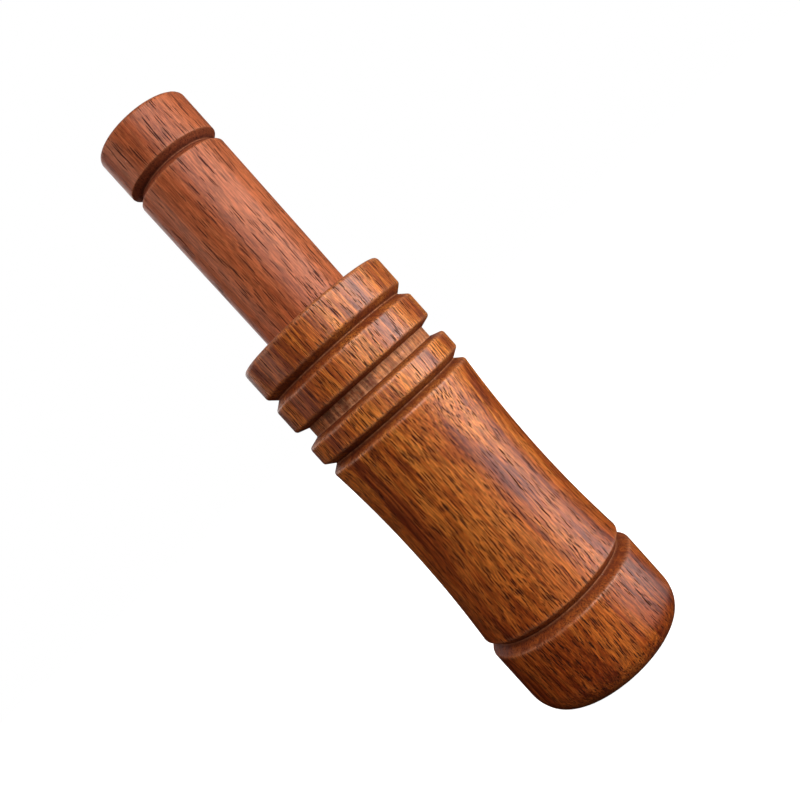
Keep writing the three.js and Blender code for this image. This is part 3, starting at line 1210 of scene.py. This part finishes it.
@dataclass
class Barrel(TurnedPiece):
    """The barrel: mouth cap, waisted body, three rings and the bore."""

    bore: float = 8.1 * MM
    mouth_flare: float = 1.6 * MM
    mouth_flare_length: float = 3.0 * MM
    mouth_edge_round: float = 0.25 * MM
    throat_round: float = 1.0 * MM
    socket_chamfer: float = 0.5 * MM
    mouth_radius: float = 18.85 * MM
    mouth_round_in: float = 4.6 * MM
    mouth_round_up: float = 6.0 * MM
    cap_length: float = 17.65 * MM
    cap_groove_width: float = 3.45 * MM
    cap_groove_floor: float = 16.7 * MM
    body_length: float = 47.7 * MM
    body_end_radius: float = 18.45 * MM
    waist_radius: float = 17.25 * MM
    lower_vee_width: float = 2.9 * MM
    lower_vee_floor: float = 16.5 * MM
    lower_ring_length: float = 4.4 * MM
    lower_ring_radius: float = 18.75 * MM
    lanyard_groove_width: float = 4.3 * MM
    lanyard_groove_floor: float = 15.9 * MM
    lanyard_wall_slope: float = 0.9 * MM
    middle_ring_length: float = 6.0 * MM
    middle_ring_radius: float = 18.7 * MM
    upper_vee_width: float = 3.2 * MM
    upper_vee_floor: float = 16.7 * MM
    upper_ring_radius: float = 18.55 * MM
    edge_round: float = 0.9 * MM
    end_round: float = 1.0 * MM
    mouth_steps: int = 19
    waist_steps: int = 42
    floor_margin: float = 0.05 * MM
    bore_margin: float = 0.02 * MM

    def __post_init__(self) -> None:
        """Take the heights from the CAD barrel's top and the lengths above."""
        self.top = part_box("barrel")[1].z
        self.body_start = self.cap_length + self.cap_groove_width
        self.body_end = self.body_start + self.body_length
        self.lower_ring_start = self.body_end + self.lower_vee_width
        self.lower_ring_end = self.lower_ring_start + self.lower_ring_length
        self.middle_ring_start = self.lower_ring_end + self.lanyard_groove_width
        self.middle_ring_end = self.middle_ring_start + self.middle_ring_length
        self.upper_ring_start = self.middle_ring_end + self.upper_vee_width

    def _mouth_rounding(self) -> list[Corner]:
        """Round the cap by a quarter ellipse: radius with the sine, height with 1 - cosine."""
        turn = np.linspace(0, np.pi / 2, self.mouth_steps)
        radius = self.mouth_radius - self.mouth_round_in + self.mouth_round_in * np.sin(turn)
        return sharp_corners(radius, self.mouth_round_up * (1 - np.cos(turn)))

    def _waist(self) -> list[Corner]:
        """Follow an arc through both ends of the body and its waist.

        Its height a from the middle has the radius waist + R - sqrt(R^2 - a^2).

        Returns:
            The arc's corners, without its two end points.
        """
        half = self.body_length / 2
        sag = self.body_end_radius - self.waist_radius
        arc_radius = (half**2 + sag**2) / (2 * sag)
        along = np.linspace(-half, half, self.waist_steps)[1:-1]
        radius = self.waist_radius + arc_radius - np.sqrt(arc_radius**2 - along**2)
        return sharp_corners(radius, self.body_start + half + along)

    def _grooved_end(self) -> list[Corner]:
        """Cut the rings and grooves, from the body's upper end to the barrel's top.

        Returns:
            Their corners.
        """
        edge, vee, lean = self.edge_round, self.vee_round, self.lanyard_wall_slope
        return [
            Corner(self.body_end_radius, self.body_end, edge),
            Corner(self.lower_vee_floor, (self.body_end + self.lower_ring_start) / 2, vee),
            Corner(self.lower_ring_radius, self.lower_ring_start, edge),
            Corner(self.lower_ring_radius, self.lower_ring_end, edge),
            Corner(self.lanyard_groove_floor, self.lower_ring_end + lean, vee),
            Corner(self.lanyard_groove_floor, self.middle_ring_start - lean, vee),
            Corner(self.middle_ring_radius, self.middle_ring_start, edge),
            Corner(self.middle_ring_radius, self.middle_ring_end, edge),
            Corner(self.upper_vee_floor, (self.middle_ring_end + self.upper_ring_start) / 2, vee),
            Corner(self.upper_ring_radius, self.upper_ring_start, edge),
            Corner(self.upper_ring_radius, self.top, self.end_round),
        ]

    def profile(self) -> np.ndarray:
        """Return the whole closed profile, from the mouth's flare round the outside to the bore."""
        edge, inner = self.edge_round, self.bore_edge_round
        cap_groove = (self.cap_length + self.body_start) / 2
        corners = [
            Corner(self.bore + self.mouth_flare, 0.0, self.mouth_edge_round),
            *self._mouth_rounding(),
            Corner(self.mouth_radius, self.cap_length, edge),
            Corner(self.cap_groove_floor, cap_groove, self.vee_round),
            Corner(self.body_end_radius, self.body_start, edge),
            *self._waist(),
            *self._grooved_end(),
            Corner(self.bore + self.socket_chamfer, self.top, inner),
            Corner(self.bore, self.top - self.socket_chamfer, inner),
            Corner(self.bore, self.mouth_flare_length, self.throat_round),
        ]
        return turned_profile(corners, self.straight_step)

    def build(self, material: bpy.types.Material) -> bpy.types.Object:
        """Turn, mark and dress the barrel.

        Args:
            material: Its finish.

        Returns:
            The piece.
        """
        profile = self.profile()
        piece = self.turn("barrel_turned", profile, seed=11)
        radius, height = profile.T
        floor_low = self.lower_ring_end + self.lanyard_wall_slope - self.floor_margin
        floor_high = self.middle_ring_start - self.lanyard_wall_slope + self.floor_margin
        outside = radius > self.bore * 1.5
        self.mark_rows(piece, Mark.BARE, (height > floor_low) & (height < floor_high) & outside)
        self.mark_rows(piece, Mark.BORE, radius < self.bore + self.bore_margin)
        return settle(piece, material, "barrel", Body.BARREL)


@dataclass
class Stopper(TurnedPiece):
    """The outside of the insert: stem, groove, end band and the flared exhaust bore."""

    segments: int = 168
    neck_radius: float = 10.7 * MM
    stem_radius: float = 10.95 * MM
    groove_floor: float = 9.3 * MM
    groove_width: float = 2.9 * MM
    band_length: float = 9.95 * MM
    band_radius: float = 11.15 * MM
    end_round: float = 1.0 * MM
    edge_round: float = 0.4 * MM
    exhaust_radius: float = 4.75 * MM
    bell_radius: float = 7.0 * MM
    bell_length: float = 29.0 * MM
    bell_round: float = 0.8 * MM
    bell_edge_round: float = 0.4 * MM
    bell_steps: int = 20
    socket_radius: float = 5.75 * MM
    socket_depth: float = 8.2 * MM
    bore_margin: float = 0.3 * MM

    def _bell(self, top: float) -> list[Corner]:
        """Flare the bore: radius grows with the square of the height above its straight part."""
        share = np.linspace(1, 0, self.bell_steps)
        radius = self.exhaust_radius + (self.bell_radius - self.exhaust_radius) * share**2
        return sharp_corners(radius, top - self.bell_round - self.bell_length * (1 - share))

    def profile(self) -> np.ndarray:
        """Return the whole closed profile, from the socket round the outside to the bell."""
        low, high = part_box("stopper")
        bottom, top = low.z, high.z
        socket_end = bottom + self.socket_depth
        band_start = top - self.band_length
        groove_start = band_start - self.groove_width
        edge, inner = self.edge_round, self.bore_edge_round
        corners = [
            Corner(self.socket_radius, bottom, inner),
            Corner(self.neck_radius, bottom, edge),
            Corner(self.stem_radius, groove_start, edge),
            Corner(self.groove_floor, (groove_start + band_start) / 2, self.vee_round),
            Corner(self.band_radius, band_start, edge),
            Corner(self.band_radius, top, self.end_round),
            Corner(self.bell_radius + self.bell_round, top, self.bell_edge_round),
            *self._bell(top),
            Corner(self.exhaust_radius, socket_end, inner),
            Corner(self.socket_radius, socket_end, inner),
        ]
        return turned_profile(corners, self.straight_step)

    def build(self, material: bpy.types.Material) -> bpy.types.Object:
        """Turn, mark and dress the stopper.

        Args:
            material: Its finish.

        Returns:
            The piece.
        """
        profile = self.profile()
        piece = self.turn("stopper_turned", profile, seed=23)
        self.mark_rows(piece, Mark.BARE, np.zeros(len(profile)))
        self.mark_rows(piece, Mark.BORE, profile[:, 0] < self.bell_radius - self.bore_margin)
        return settle(piece, material, "stopper", Body.INSERT)


# ---------------------------------------------------------------- what the insert carries


@dataclass
class ToneBoard:
    """The moulded tone board: the CAD solid with its moulded edges eased."""

    merge: float = 0.002 * MM
    flat_angle: float = math.radians(1.0)
    edge_angle: float = math.radians(32.0)
    ease: float = 0.12 * MM

    def build(self, material: bpy.types.Material) -> bpy.types.Object:
        """Copy the CAD solid, join its loose triangles, ease its edges and dress it.

        Args:
            material: Its finish.

        Returns:
            The piece.
        """
        shape = bmesh.new()
        shape.from_mesh(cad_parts["tone_board"].data)
        bmesh.ops.remove_doubles(shape, verts=shape.verts, dist=self.merge)
        bmesh.ops.dissolve_limit(
            shape, angle_limit=self.flat_angle, verts=shape.verts, edges=shape.edges
        )
        mesh = bpy.data.meshes.new("tone_board_moulded")
        shape.to_mesh(mesh)
        shape.free()
        mesh.shade_smooth()
        mesh.set_sharp_from_angle(angle=self.edge_angle)
        piece = add_object("tone_board_moulded", mesh)
        bevel = piece.modifiers.new("eased edges", "BEVEL")
        bevel.width = self.ease
        bevel.segments = 2
        bevel.limit_method = "ANGLE"
        bevel.angle_limit = self.edge_angle
        bevel.harden_normals = True
        return settle(piece, material, "tone_board", Body.INSERT)


@dataclass
class SealingRings:
    """The two rubber rings in the tone board's grooves."""

    around: int = 160
    section: int = 28
    flash: float = 0.018 * MM
    flash_spread: float = 0.16
    unevenness: float = 0.004 * MM

    def build(self, material: bpy.types.Material) -> list[bpy.types.Object]:
        """Make both rings on their CAD boxes.

        A point is ((R + s cos t) cos a, (R + s cos t) sin a, z + s sin t), with the section radius
        s a little more at the mould's parting line, where t is 0.

        Args:
            material: Their finish.

        Returns:
            The two pieces.
        """
        made = []
        a, t = angles(self.around)[:, None], angles(self.section)[None, :]
        bead = np.exp(-((np.sin(t) / self.flash_spread) ** 2)) * (np.cos(t) > 0)
        uneven = ripple(a + 0 * t, 0 * t, 31) * self.unevenness
        for node in ("front_o_ring", "rear_o_ring"):
            low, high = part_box(node)
            section_radius = (high.z - low.z) / 2
            ring_radius = (high.x - low.x) / 2 - section_radius
            s = section_radius + self.flash * bead + uneven
            r, z = ring_radius + s * np.cos(t), (low.z + high.z) / 2 + s * np.sin(t)
            points = np.stack([r * np.cos(a), r * np.sin(a), z], axis=-1)
            piece = ring_mesh(node + "_rubber", points, wrap_rows=True)
            made.append(settle(piece, material, node, Body.SEALS))
        return made


@dataclass
class Reeds:
    """The two film reeds, which reach from the wedge's front edge to their tips."""

    corner: float = 2.0 * MM
    length_steps: int = 90
    crowding: float = 0.35
    face_points: int = 25
    edge_points: int = 5
    dimple_radius: float = 1.6 * MM
    dimple_height: float = 0.28 * MM
    dimple_from_tip: float = 9.0 * MM
    bend_length: float = 24.0 * MM

    def _section(self, half_width: np.ndarray, edge: float) -> tuple[np.ndarray, np.ndarray]:
        """Work out a reed's section: two flat faces of evenly spaced points and round edges.

        Args:
            half_width: Half width at each step along the reed.
            edge: The round edges' radius, which is half the film's thickness.

        Returns:
            The across and through places, each an array (steps, points).
        """
        flat = np.linspace(-1, 1, self.face_points)
        turn = np.linspace(-np.pi / 2, np.pi / 2, self.edge_points)[1:-1]
        across = np.concatenate([flat, 1 + 0 * turn, -flat, -1 + 0 * turn])
        bulge = np.concatenate([0 * flat, np.cos(turn), 0 * flat, -np.cos(turn)])
        through = np.concatenate([0 * flat - 1, np.sin(turn), 0 * flat + 1, -np.sin(turn)])
        x = across[None, :] * (half_width[:, None] - edge) + bulge[None, :] * edge
        return x, np.broadcast_to(through * edge, x.shape)

    def build(self, material: bpy.types.Material) -> list[bpy.types.Object]:
        """Make both reeds on their CAD boxes.

        The half width near the tip is w - c + sqrt(c^2 - (c - d)^2) at a distance d from the tip,
        which rounds its corners by c. The short reed's dimple is h exp(-(q / radius)^4).

        Args:
            material: Their finish.

        Returns:
            The two pieces.
        """
        share = np.linspace(0, 1, self.length_steps)
        share = self.crowding * share**2 + (1 - self.crowding) * share
        made = []
        for node in ("long_reed", "short_reed"):
            low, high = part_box(node)
            middle = (low.y + high.y) / 2
            z = low.z + (high.z - low.z) * share
            short_of = np.clip(self.corner - (z - low.z), 0, self.corner)
            rounding = np.sqrt(self.corner**2 - short_of**2)
            half_width = (high.x - low.x) / 2 - self.corner + rounding
            x, through = self._section(half_width, (high.y - low.y) / 2)
            y = middle + through
            z = np.broadcast_to(z[:, None], x.shape)
            if node == "short_reed":
                q = np.hypot(x, z - low.z - self.dimple_from_tip)
                y = y - self.dimple_height * np.exp(-((q / self.dimple_radius) ** 4))
            piece = ring_mesh(node + "_film", np.stack([x, y, z], axis=-1), wrap_rows=False)
            settle(piece, material, node, None)
            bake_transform(piece)
            made.append(piece)
        return made


@dataclass
class WedgeCork:
    """The cork that clamps the reeds in the tone board's notch."""

    around: int = 72
    length_steps: int = 34
    corner_power: float = 7.0
    end_draw: float = 0.10
    end_power: int = 18
    crumble: float = 0.035 * MM
    crumbs: int = 40
    top_band: float = 0.1 * MM

    def build(self, material: bpy.types.Material) -> bpy.types.Object:
        """Make the cork as superellipse sections that taper with the CAD wedge.

        A section point is (a sgn(cos t)|cos t|^(2/p), b sgn(sin t)|sin t|^(2/p)); a ripple crumbles
        it, and the last sections at each end draw in to round it off.

        Args:
            material: Its finish.

        Returns:
            The piece.
        """
        vertices = np.array([v.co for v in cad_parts["wedge_cork"].data.vertices])
        low, high = vertices.min(0), vertices.max(0)
        upper_front = vertices[vertices[:, 2] > high[2] - self.top_band][:, 1].min()
        share, t = np.linspace(0, 1, self.length_steps)[:, None], angles(self.around)[None, :]
        front = low[1] + (upper_front - low[1]) * share
        middle, half_depth = (front + high[1]) / 2, (high[1] - front) / 2
        power = 2 / self.corner_power
        draw_in = 1 - self.end_draw * (np.abs(2 * share - 1) ** self.end_power)
        x = high[0] * draw_in * np.sign(np.cos(t)) * np.abs(np.cos(t)) ** power
        y = half_depth * draw_in * np.sign(np.sin(t)) * np.abs(np.sin(t)) ** power
        z = low[2] + (high[2] - low[2]) * share + 0 * t
        crumbs = ripple(t + 0 * share, z, 47, self.crumbs)
        crumbled = 1 - self.crumble / high[0] * (1 + crumbs)
        points = np.stack([x * crumbled, middle + y * crumbled, z], axis=-1)
        piece = ring_mesh("wedge_cork_cut", points, wrap_rows=False)
        return settle(piece, material, "wedge_cork", Body.INSERT)


# ---------------------------------------------------------------- studio


@dataclass(frozen=True)
class Softbox:
    """A softbox: degrees round from the front towards +X and up, metres, watts and tint."""

    name: str
    azimuth: float
    elevation: float
    away: float
    size: Pair
    watts: float
    tint: Colour = (1.0, 1.0, 1.0)

    def hang(self, middle: Vector) -> None:
        """Hang the softbox, which the camera doesn't see.

        Args:
            middle: The place that it faces and is measured from.
        """
        light = bpy.data.lights.new(self.name, "AREA")
        light.shape = "RECTANGLE"
        light.size, light.size_y = self.size
        light.energy = self.watts
        light.color = self.tint
        lamp = add_object(self.name, light)
        a, e = math.radians(self.azimuth), math.radians(self.elevation)
        towards = Vector((math.sin(a) * math.cos(e), -math.cos(a) * math.cos(e), math.sin(e)))
        lamp.location = middle + towards * self.away
        lamp.rotation_mode = "QUATERNION"
        lamp.rotation_quaternion = towards.to_track_quat("Z", "Y")
        lamp.visible_camera = False


WINDOW_TINT: Colour = (1.0, 0.96, 0.92)
KEY = Softbox("key", 26, 26, 0.46, (0.36, 0.38), 1.55)
WINDOW = Softbox("window", 67, 9, 0.50, (0.31, 0.30), 1.65, WINDOW_TINT)
LEFT = Softbox("left", -84, 28, 0.30, (0.16, 0.22), 0.24, (1.0, 0.74, 0.60))
BACK = Softbox("back", 195, 35, 1.2, (1.3, 1.3), 7.0)


@dataclass
class Studio:
    """Floor, lights and camera."""

    lens: float = 39.8
    sensor: float = 36.0
    clip: Pair = (0.005, 100.0)
    distance: float = 0.1871
    aim: Triple = (0.0022, 0.0, 0.0711)
    elevation: float = 2.16
    roll: float = 42.0
    bright_side: Triple = (0.82, -0.47, 0.33)
    bright_from: float = -0.9
    dim_fill: float = 0.05
    bright_fill: float = 0.16
    dim_tint: Colour = (1.0, 0.66, 0.46)
    bright_tint: Colour = (1.0, 0.97, 0.95)
    floor_radius: float = 12.0
    floor_corners: int = 96
    floor_seen: float = 0.92
    floor_bounce: Colour = (0.13, 0.125, 0.12)
    floor_glow: float = 1.0
    floor_gleam: float = 3.3
    gleam_wedge: Pair = (0.78, 0.97)
    gleam_reach: Pair = (0.02, 0.055)

    def floor(self) -> None:
        """Lay a plain pale floor that bounces little light back up at the call."""
        material = bpy.data.materials.new("floor")
        material.use_nodes = True
        g = Graph(material.node_tree)
        g.tree.nodes.clear()
        lit = g.made("BsdfDiffuse", {"Color": (*(self.floor_seen,) * 3, 1.0)})
        glow = g.made("Emission", {"Strength": self.floor_glow})
        seen = g.made("AddShader", {0: lit, 1: glow})
        bounced = g.made("BsdfDiffuse", {"Color": (*self.floor_bounce, 1.0)})
        strength = g.times(self._towards_window(g), self.floor_gleam)
        gleam = g.made("Emission", {"Color": (*WINDOW_TINT, 1.0), "Strength": strength})
        path = g.node("LightPath").outputs
        mirrored = g.made("MixShader", {0: path["Is Glossy Ray"], 1: bounced, 2: gleam})
        mixed = g.made("MixShader", {0: path["Is Camera Ray"], 1: mirrored, 2: seen})
        g.feed(g.node("OutputMaterial").inputs["Surface"], mixed)
        angle = angles(self.floor_corners)
        ring = np.stack([np.cos(angle), np.sin(angle), 0 * angle], axis=-1) * self.floor_radius
        mesh = bpy.data.meshes.new("floor")
        mesh.from_pydata(ring.tolist(), [], [list(range(len(ring)))])
        mesh.materials.append(material)
        add_object("floor", mesh)

    def _facing(self, g: Graph, direction: Socket, side: Triple) -> Socket:
        """Say how far a direction faces a side: their dot product."""
        return g.made("VectorMath", {0: direction, 1: side}, "Value", operation="DOT_PRODUCT")

    def _towards_window(self, g: Graph) -> Socket:
        """Mask the wedge of floor that lies between the call and the window's softbox.

        Args:
            g: The floor's graph.

        Returns:
            The mask, which fades out close to the call.
        """
        place = g.node("TexCoord").outputs["Object"]
        out = g.made("VectorMath", {0: place}, operation="NORMALIZE")
        away = g.made("VectorMath", {0: place}, "Value", operation="LENGTH")
        a = math.radians(WINDOW.azimuth)
        facing = self._facing(g, out, (math.sin(a), -math.cos(a), 0.0))
        return g.times(g.between(facing, *self.gleam_wedge), g.between(away, *self.gleam_reach))

    def world(self) -> None:
        """Fill the room with even light, brighter on the key's side, that the camera sees as white.

        The fill's strength grows smoothly with the direction's dot product with the bright side.
        """
        world = bpy.data.worlds.new("room")
        bpy.context.scene.world = world
        world.use_nodes = True
        g = Graph(world.node_tree)
        g.tree.nodes.clear()
        seen = g.made("Background", {"Color": (1.0, 1.0, 1.0, 1.0)})
        facing = self._facing(g, g.node("TexCoord").outputs["Generated"], self.bright_side)
        share = g.between(facing, self.bright_from, 1.0)
        tint = g.blend(share, self.dim_tint, self.bright_tint)
        strength = g.ranged(share, self.dim_fill, self.bright_fill)
        fill = g.made("Background", {"Color": tint, "Strength": strength})
        camera = g.node("LightPath").outputs["Is Camera Ray"]
        mixed = g.made("MixShader", {0: camera, 1: fill, 2: seen})
        g.feed(g.node("OutputWorld").inputs["Surface"], mixed)

    def camera(self) -> None:
        """Set the camera level with the call, rolled so that the call lies across the frame."""
        data = bpy.data.cameras.new("camera")
        data.lens = self.lens
        data.sensor_width = self.sensor
        data.clip_start, data.clip_end = self.clip
        camera = add_object("camera", data)
        e, roll = math.radians(self.elevation), math.radians(self.roll)
        back = Vector((0, -math.cos(e), math.sin(e)))
        level_right = Vector((1, 0, 0))
        level_up = back.cross(level_right)
        right = level_right * math.cos(roll) - level_up * math.sin(roll)
        up = level_right * math.sin(roll) + level_up * math.cos(roll)
        turn = Matrix((right, up, back)).transposed().to_4x4()
        camera.matrix_world = Matrix.Translation(Vector(self.aim) + back * self.distance) @ turn
        bpy.context.scene.camera = camera

    def build(self) -> None:
        """Set up the whole studio."""
        bpy.context.scene.view_settings.view_transform = "Standard"
        self.floor()
        self.world()
        for softbox in (KEY, WINDOW, LEFT, BACK):
            softbox.hang(Vector((0, 0, self.aim[2])))
        self.camera()


# ---------------------------------------------------------------- the call


BARREL_TIMBER = TimberFinish(
    name="golden brown timber",
    dark=(0.17, 0.024, 0.003),
    middle=(0.425, 0.097, 0.0105),
    light=(0.68, 0.214, 0.031),
    pore=(0.045, 0.010, 0.004),
    end_grain=(0.15, 0.032, 0.008),
    # The stain colour is also painted shade in the grooves.
    stain_and_shade=(0.09, 0.018, 0.006),
    # Pale rubbed colour, also used for the painted highlight lines.
    rubbed_and_highlight=(0.70, 0.33, 0.17),
    offset=(50.0, 85.0, 7.0),
    wander=7.0,
    slope=0.2,
    pore_cell=0.38,
    pore_length=4.2,
    pore_half_width=0.29,
    pore_keep=0.74,
    # Painted shade, darker towards the mouth end.
    end_shade_from=80.0,
    end_shade_to=10.0,
    end_shade=(0.72, 0.56, 0.42),
    figure=1.0,
    fibre_depth=0.54,
)
STOPPER_TIMBER = TimberFinish(
    name="reddish brown timber",
    dark=(0.22, 0.034, 0.009),
    middle=(0.415, 0.103, 0.033),
    light=(0.52, 0.142, 0.049),
    pore=(0.045, 0.010, 0.006),
    end_grain=(0.12, 0.024, 0.012),
    # The stain colour is also painted shade in the grooves.
    stain_and_shade=(0.055, 0.011, 0.007),
    # Pale colour for the painted highlight lines on edges and groove bottoms, partly wear on the
    # edges.
    rubbed_and_highlight=(0.50, 0.20, 0.10),
    offset=(83.0, 17.0, 29.0),
    wander=5.0,
    slope=0.05,
    pore_cell=0.38,
    pore_length=8.5,
    pore_half_width=0.28,
    pore_keep=0.76,
    # Painted shade, a little darker towards the band end.
    end_shade_from=134.0,
    end_shade_to=146.0,
    end_shade=(0.94, 0.92, 0.92),
    figure=0.4,
    fibre_depth=0.42,
    coat_weight=0.50,
)
TONE_PLASTIC = MouldedFinish("moulded tone board", srgb(30, 34, 36), srgb(92, 96, 98))
RING_RUBBER = RubberFinish("sealing rubber", srgb(20, 20, 22), srgb(64, 62, 60))
REED_FILM = FilmFinish("reed film", srgb(214, 222, 226), srgb(190, 200, 208))
WEDGE_CORK = CorkFinish("raw cork", srgb(206, 158, 106), srgb(164, 112, 66), srgb(84, 50, 28))


def main() -> None:
    """Build every piece of the call and the studio around it."""
    logging.basicConfig(level=logging.INFO, format="%(name)s: %(message)s")
    effects = Effects()
    Studio().build()
    Barrel().build(BARREL_TIMBER.build(effects))
    Stopper().build(STOPPER_TIMBER.build(effects))
    ToneBoard().build(TONE_PLASTIC.build(effects))
    SealingRings().build(RING_RUBBER.build(effects))
    Reeds().build(REED_FILM.build(effects))
    WedgeCork().build(WEDGE_CORK.build(effects))


if __name__ == "__main__":
    main()
